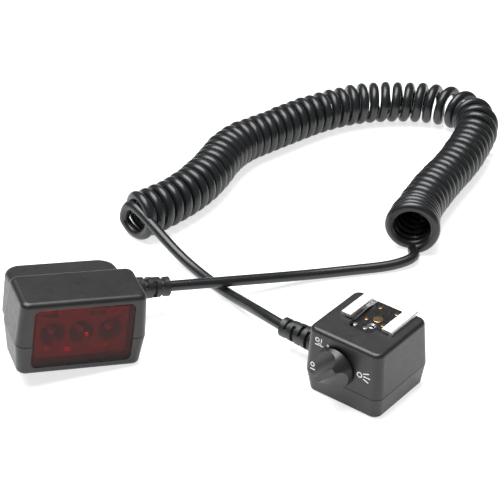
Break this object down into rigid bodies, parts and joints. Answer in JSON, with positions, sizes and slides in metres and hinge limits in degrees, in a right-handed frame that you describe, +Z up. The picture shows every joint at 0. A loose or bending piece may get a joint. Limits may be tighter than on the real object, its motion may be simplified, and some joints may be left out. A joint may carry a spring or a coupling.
{
  "type": "off-camera flash cord with autofocus lamp",
  "caption": "Coiled cord joining a camera-shoe unit with a red autofocus lamp window to a flash unit with a hot shoe on top and a rotary selector on its side.",
  "frame": {"origin": "on the floor under the centre of the bounding box of the two units, the cord left out", "axes": "+X along the flash unit's width and towards the side away from its cord, +Y from its selector face to its rear, +Z up; the camera unit stands turned 59 degrees and leans 8 degrees"},
  "size_m": [0.159, 0.2672, 0.0347],
  "materials": {
    "housing": "fine matt moulding texture",
    "knob": "satin moulding",
    "relief": "satin soft moulding",
    "cord_jacket": "satin jacket",
    "window": "clear dark red, polished",
    "steel": "bright plated",
    "screw_steel": "black plated",
    "insulator": "polished black",
    "contact_metal": "plated",
    "turned_steel": "turned",
    "cam_plastic": "plain moulding",
    "board": "coated laminate",
    "reflector": "metallised",
    "led": "clear red"
  },
  "bodies": {
    "units_and_cord": {"flash_upper_shell": "housing", "flash_lower_shell": "housing", "tripod_bush": "contact_metal", "flash_screws": "screw_steel", "shoe_bracket": "steel", "contact_plate": "insulator", "plate_rivets": "steel", "lock_eyelet": "steel", "shoe_spring": "steel", "contact_board": "board", "detent_spring": "turned_steel", "switch_body": "insulator", "flash_board": "board", "flash_relief": "relief", "flash_cord_anchor": "turned_steel", "camera_upper_shell": "housing", "camera_lower_shell": "housing", "camera_base_cover": "housing", "lamp_window": "window", "lamp_reflector": "reflector", "lamp_leds": "led", "lamp_board": "board", "rear_board": "board", "foot_block": "insulator", "shoe_foot": "steel", "camera_screws": "screw_steel", "camera_relief": "relief", "camera_cord_anchor": "turned_steel", "camera_lead": "cord_jacket", "coiled_cord": "cord_jacket", "flash_lead": "cord_jacket"},
    "selector": {"selector_knob": "knob", "knob_shaft": "turned_steel", "detent_cam": "cam_plastic"},
    "sync_pin": {"sync_contact": "contact_metal"},
    "data_pin_1": {"shoe_pin_1": "contact_metal"},
    "data_pin_2": {"shoe_pin_2": "contact_metal"},
    "data_pin_3": {"shoe_pin_3": "contact_metal"},
    "data_pin_4": {"shoe_pin_4": "contact_metal"},
    "foot_sync_pin": {"foot_sync_contact": "contact_metal"},
    "foot_data_pin_1": {"foot_pin_1": "contact_metal"},
    "foot_data_pin_2": {"foot_pin_2": "contact_metal"},
    "foot_data_pin_3": {"foot_pin_3": "contact_metal"},
    "foot_data_pin_4": {"foot_pin_4": "contact_metal"},
    "lever": {"lock_lever": "knob"},
    "locking_pin": {"lock_pin": "turned_steel"}
  },
  "joints": [
    {"name": "selector_turn", "type": "hinge", "parent": "units_and_cord", "child": "selector", "pos_m": [0.05064, 0.01609, 0.0156], "axis": [0, 1, 0], "range_deg": [0, 106.5]},
    {"name": "sync_press", "type": "slide", "parent": "units_and_cord", "child": "sync_pin", "axis": [0, 0, 1], "range_m": [-0.0003, 0], "stiffness_N_per_m": 120, "springref_m": 0.0004},
    {"name": "data_pin_1_press", "type": "slide", "parent": "units_and_cord", "child": "data_pin_1", "axis": [0, 0, 1], "range_m": [-0.0003, 0], "stiffness_N_per_m": 120, "springref_m": 0.0004},
    {"name": "data_pin_2_press", "type": "slide", "parent": "units_and_cord", "child": "data_pin_2", "axis": [0, 0, 1], "range_m": [-0.0003, 0], "stiffness_N_per_m": 120, "springref_m": 0.0004},
    {"name": "data_pin_3_press", "type": "slide", "parent": "units_and_cord", "child": "data_pin_3", "axis": [0, 0, 1], "range_m": [-0.0003, 0], "stiffness_N_per_m": 120, "springref_m": 0.0004},
    {"name": "data_pin_4_press", "type": "slide", "parent": "units_and_cord", "child": "data_pin_4", "axis": [0, 0, 1], "range_m": [-0.0003, 0], "stiffness_N_per_m": 120, "springref_m": 0.0004},
    {"name": "foot_sync_press", "type": "slide", "parent": "units_and_cord", "child": "foot_sync_pin", "axis": [0.0737, 0.1236, 0.9896], "range_m": [0, 0.00035], "stiffness_N_per_m": 120, "springref_m": -0.0004},
    {"name": "foot_data_pin_1_press", "type": "slide", "parent": "units_and_cord", "child": "foot_data_pin_1", "axis": [0.0737, 0.1236, 0.9896], "range_m": [0, 0.00035], "stiffness_N_per_m": 120, "springref_m": -0.0004},
    {"name": "foot_data_pin_2_press", "type": "slide", "parent": "units_and_cord", "child": "foot_data_pin_2", "axis": [0.0737, 0.1236, 0.9896], "range_m": [0, 0.00035], "stiffness_N_per_m": 120, "springref_m": -0.0004},
    {"name": "foot_data_pin_3_press", "type": "slide", "parent": "units_and_cord", "child": "foot_data_pin_3", "axis": [0.0737, 0.1236, 0.9896], "range_m": [0, 0.00035], "stiffness_N_per_m": 120, "springref_m": -0.0004},
    {"name": "foot_data_pin_4_press", "type": "slide", "parent": "units_and_cord", "child": "foot_data_pin_4", "axis": [0.0737, 0.1236, 0.9896], "range_m": [0, 0.00035], "stiffness_N_per_m": 120, "springref_m": -0.0004},
    {"name": "lever_slide", "type": "slide", "parent": "units_and_cord", "child": "lever", "axis": [0.5067, 0.85, -0.1438], "range_m": [0, 0.003]},
    {"name": "locking_pin_drop", "type": "slide", "parent": "units_and_cord", "child": "locking_pin", "axis": [-0.0737, -0.1236, -0.9896], "range_m": [0, 0.0015]}
  ],
  "couplings": [
    {"joint": "locking_pin_drop", "follows": "lever_slide", "ratio": 0.5}
  ]
}
